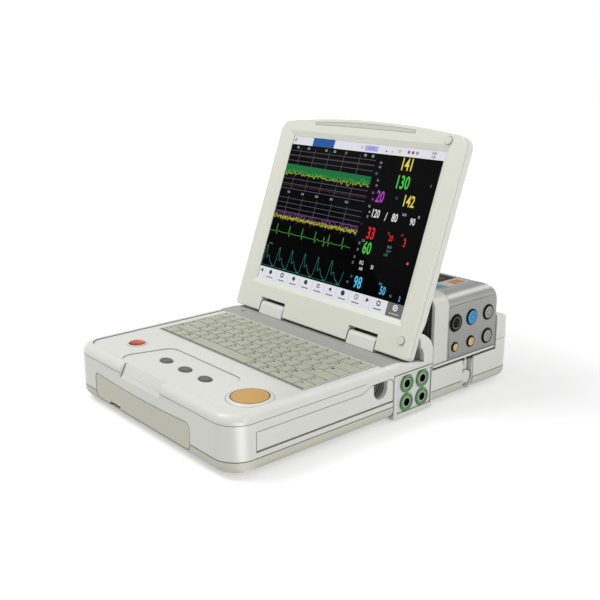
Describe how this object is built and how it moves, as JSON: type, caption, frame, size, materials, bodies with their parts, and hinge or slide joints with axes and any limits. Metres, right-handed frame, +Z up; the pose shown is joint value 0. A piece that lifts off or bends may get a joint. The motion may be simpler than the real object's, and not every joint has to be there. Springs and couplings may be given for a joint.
{
  "type": "cardiotocograph",
  "caption": "Laptop-shaped cardiotocograph: tilting display lid over a keyboard deck with jog knob, side paper drawer, probe sockets, pull-out handle and a plug-in sensor module.",
  "frame": {"origin": "on the table, under the middle of the base", "axes": "+X to the user's right, +Y to the back, +Z up"},
  "size_m": [0.2962, 0.414, 0.3002],
  "materials": {
    "shell_white": "satin",
    "bezel_white": "satin",
    "tab_white": "satin",
    "pan_grey": "matte",
    "well_grey": "matte",
    "key_grey": "matte",
    "dark_key": "matte",
    "dark_plastic": "matte",
    "black_plastic": "gloss",
    "dark_lens": "gloss",
    "diffuser": "satin",
    "bumper": "matte",
    "rubber": "matte",
    "display": "gloss",
    "power_orange": "satin",
    "jog_orange": "satin",
    "ring_green": "gloss",
    "panel_grey": "satin",
    "module_silver": "metallic satin",
    "socket_blue": "gloss",
    "socket_grey": "gloss",
    "socket_yellow": "gloss",
    "circuit_board": "satin",
    "paper": "matte",
    "sheet_steel": "brushed",
    "steel": "satin",
    "aluminium_bar": "satin",
    "brass_gear": "satin"
  },
  "bodies": {
    "base": {"bottom_pan": "pan_grey", "rubber_feet": "rubber", "case_screws": "steel", "middle_frame": "shell_white", "top_cover": "shell_white", "hinge_well": "well_grey", "hinge_blocks": "shell_white", "keyboard_plate": "dark_plastic", "indicator_lights": "dark_lens", "button_board": "circuit_board", "knob_ring": "shell_white", "recorder_chassis": "sheet_steel", "print_head": "aluminium_bar", "connector_block": "shell_white", "connector_panel": "panel_grey", "probe_rings": "ring_green", "probe_sockets": "black_plastic", "bay_tray": "dark_plastic", "mains_inlet": "black_plastic", "data_ports": "sheet_steel", "earth_stud": "brass_gear", "loudspeaker": "dark_plastic", "main_board": "circuit_board", "power_supply": "sheet_steel", "battery": "dark_plastic"},
    "lid": {"lid_bezel": "bezel_white", "lid_back": "shell_white", "display_panel": "display", "alarm_light": "diffuser", "lid_bumpers": "bumper", "hinge_pins": "steel"},
    "power_key": {"power_button": "power_orange"},
    "left_key": {"left_button": "dark_key"},
    "middle_key": {"middle_button": "dark_key"},
    "right_key": {"right_button": "dark_key"},
    "knob_push": {"knob_sleeve": "dark_plastic"},
    "knob": {"jog_knob": "jog_orange"},
    "drawer": {"drawer_front": "shell_white", "finger_recess": "dark_plastic", "paper_tray": "dark_plastic", "paper_pack": "paper"},
    "roller": {"platen_roller": "rubber"},
    "pinion": {"motor_pinion": "brass_gear"},
    "handle": {"front_handle": "pan_grey"},
    "latch": {"release_tab": "tab_white"},
    "module": {"module_housing": "module_silver", "module_trim": "shell_white", "louvre_panel": "dark_plastic", "module_base": "tab_white", "module_face": "panel_grey", "black_socket": "black_plastic", "blue_socket": "socket_blue", "grey_sockets": "socket_grey", "yellow_sockets": "socket_yellow"},
    "keys_1": {"key_row_1": "key_grey"},
    "keys_2": {"key_row_2": "key_grey"},
    "keys_3": {"key_row_3": "key_grey"},
    "keys_4": {"key_row_4": "key_grey"},
    "keys_5": {"key_row_5": "key_grey"},
    "keys_6": {"key_row_6": "key_grey"}
  },
  "joints": [
    {"name": "lid_hinge", "type": "hinge", "parent": "base", "child": "lid", "pos_m": [0, 0.0288, 0.0716], "axis": [1, 0, 0], "range_deg": [-2, 110]},
    {"name": "drawer_slide", "type": "slide", "parent": "base", "child": "drawer", "axis": [1, 0, 0], "range_m": [0, 0.09]},
    {"name": "roller_spin", "type": "hinge", "parent": "drawer", "child": "roller", "pos_m": [0.132, -0.0965, 0.0325], "axis": [0, 1, 0], "continuous": true},
    {"name": "pinion_spin", "type": "hinge", "parent": "base", "child": "pinion", "pos_m": [0.121, -0.17, 0.0325], "axis": [0, 1, 0], "continuous": true},
    {"name": "handle_slide", "type": "slide", "parent": "base", "child": "handle", "axis": [0, -1, 0], "range_m": [0, 0.04]},
    {"name": "module_slide", "type": "slide", "parent": "base", "child": "module", "axis": [1, 0, 0], "range_m": [0, 0.12]},
    {"name": "latch_slide", "type": "slide", "parent": "base", "child": "latch", "axis": [0, 0, -1], "range_m": [0, 0.005], "stiffness_N_per_m": 200, "springref_m": -0.002},
    {"name": "power_press", "type": "slide", "parent": "base", "child": "power_key", "axis": [0, 0, -1], "range_m": [0, 0.0012], "stiffness_N_per_m": 400, "springref_m": -0.0005},
    {"name": "left_press", "type": "slide", "parent": "base", "child": "left_key", "axis": [0, 0, -1], "range_m": [0, 0.0012], "stiffness_N_per_m": 400, "springref_m": -0.0005},
    {"name": "middle_press", "type": "slide", "parent": "base", "child": "middle_key", "axis": [0, 0, -1], "range_m": [0, 0.0012], "stiffness_N_per_m": 400, "springref_m": -0.0005},
    {"name": "right_press", "type": "slide", "parent": "base", "child": "right_key", "axis": [0, 0, -1], "range_m": [0, 0.0012], "stiffness_N_per_m": 400, "springref_m": -0.0005},
    {"name": "knob_press", "type": "slide", "parent": "base", "child": "knob_push", "axis": [0, 0, -1], "range_m": [0, 0.001], "stiffness_N_per_m": 600, "springref_m": -0.0005},
    {"name": "knob_turn", "type": "hinge", "parent": "knob_push", "child": "knob", "pos_m": [0.1132, -0.159, 0.06], "axis": [0, 0, 1], "continuous": true},
    {"name": "keys_1_press", "type": "slide", "parent": "base", "child": "keys_1", "axis": [0, 0, -1], "range_m": [0, 0.002], "stiffness_N_per_m": 500, "springref_m": -0.001},
    {"name": "keys_2_press", "type": "slide", "parent": "base", "child": "keys_2", "axis": [0, 0, -1], "range_m": [0, 0.002], "stiffness_N_per_m": 500, "springref_m": -0.001},
    {"name": "keys_3_press", "type": "slide", "parent": "base", "child": "keys_3", "axis": [0, 0, -1], "range_m": [0, 0.002], "stiffness_N_per_m": 500, "springref_m": -0.001},
    {"name": "keys_4_press", "type": "slide", "parent": "base", "child": "keys_4", "axis": [0, 0, -1], "range_m": [0, 0.002], "stiffness_N_per_m": 500, "springref_m": -0.001},
    {"name": "keys_5_press", "type": "slide", "parent": "base", "child": "keys_5", "axis": [0, 0, -1], "range_m": [0, 0.002], "stiffness_N_per_m": 500, "springref_m": -0.001},
    {"name": "keys_6_press", "type": "slide", "parent": "base", "child": "keys_6", "axis": [0, 0, -1], "range_m": [0, 0.002], "stiffness_N_per_m": 500, "springref_m": -0.001}
  ],
  "couplings": [
    {"joint": "pinion_spin", "follows": "roller_spin", "ratio": -1.75}
  ]
}
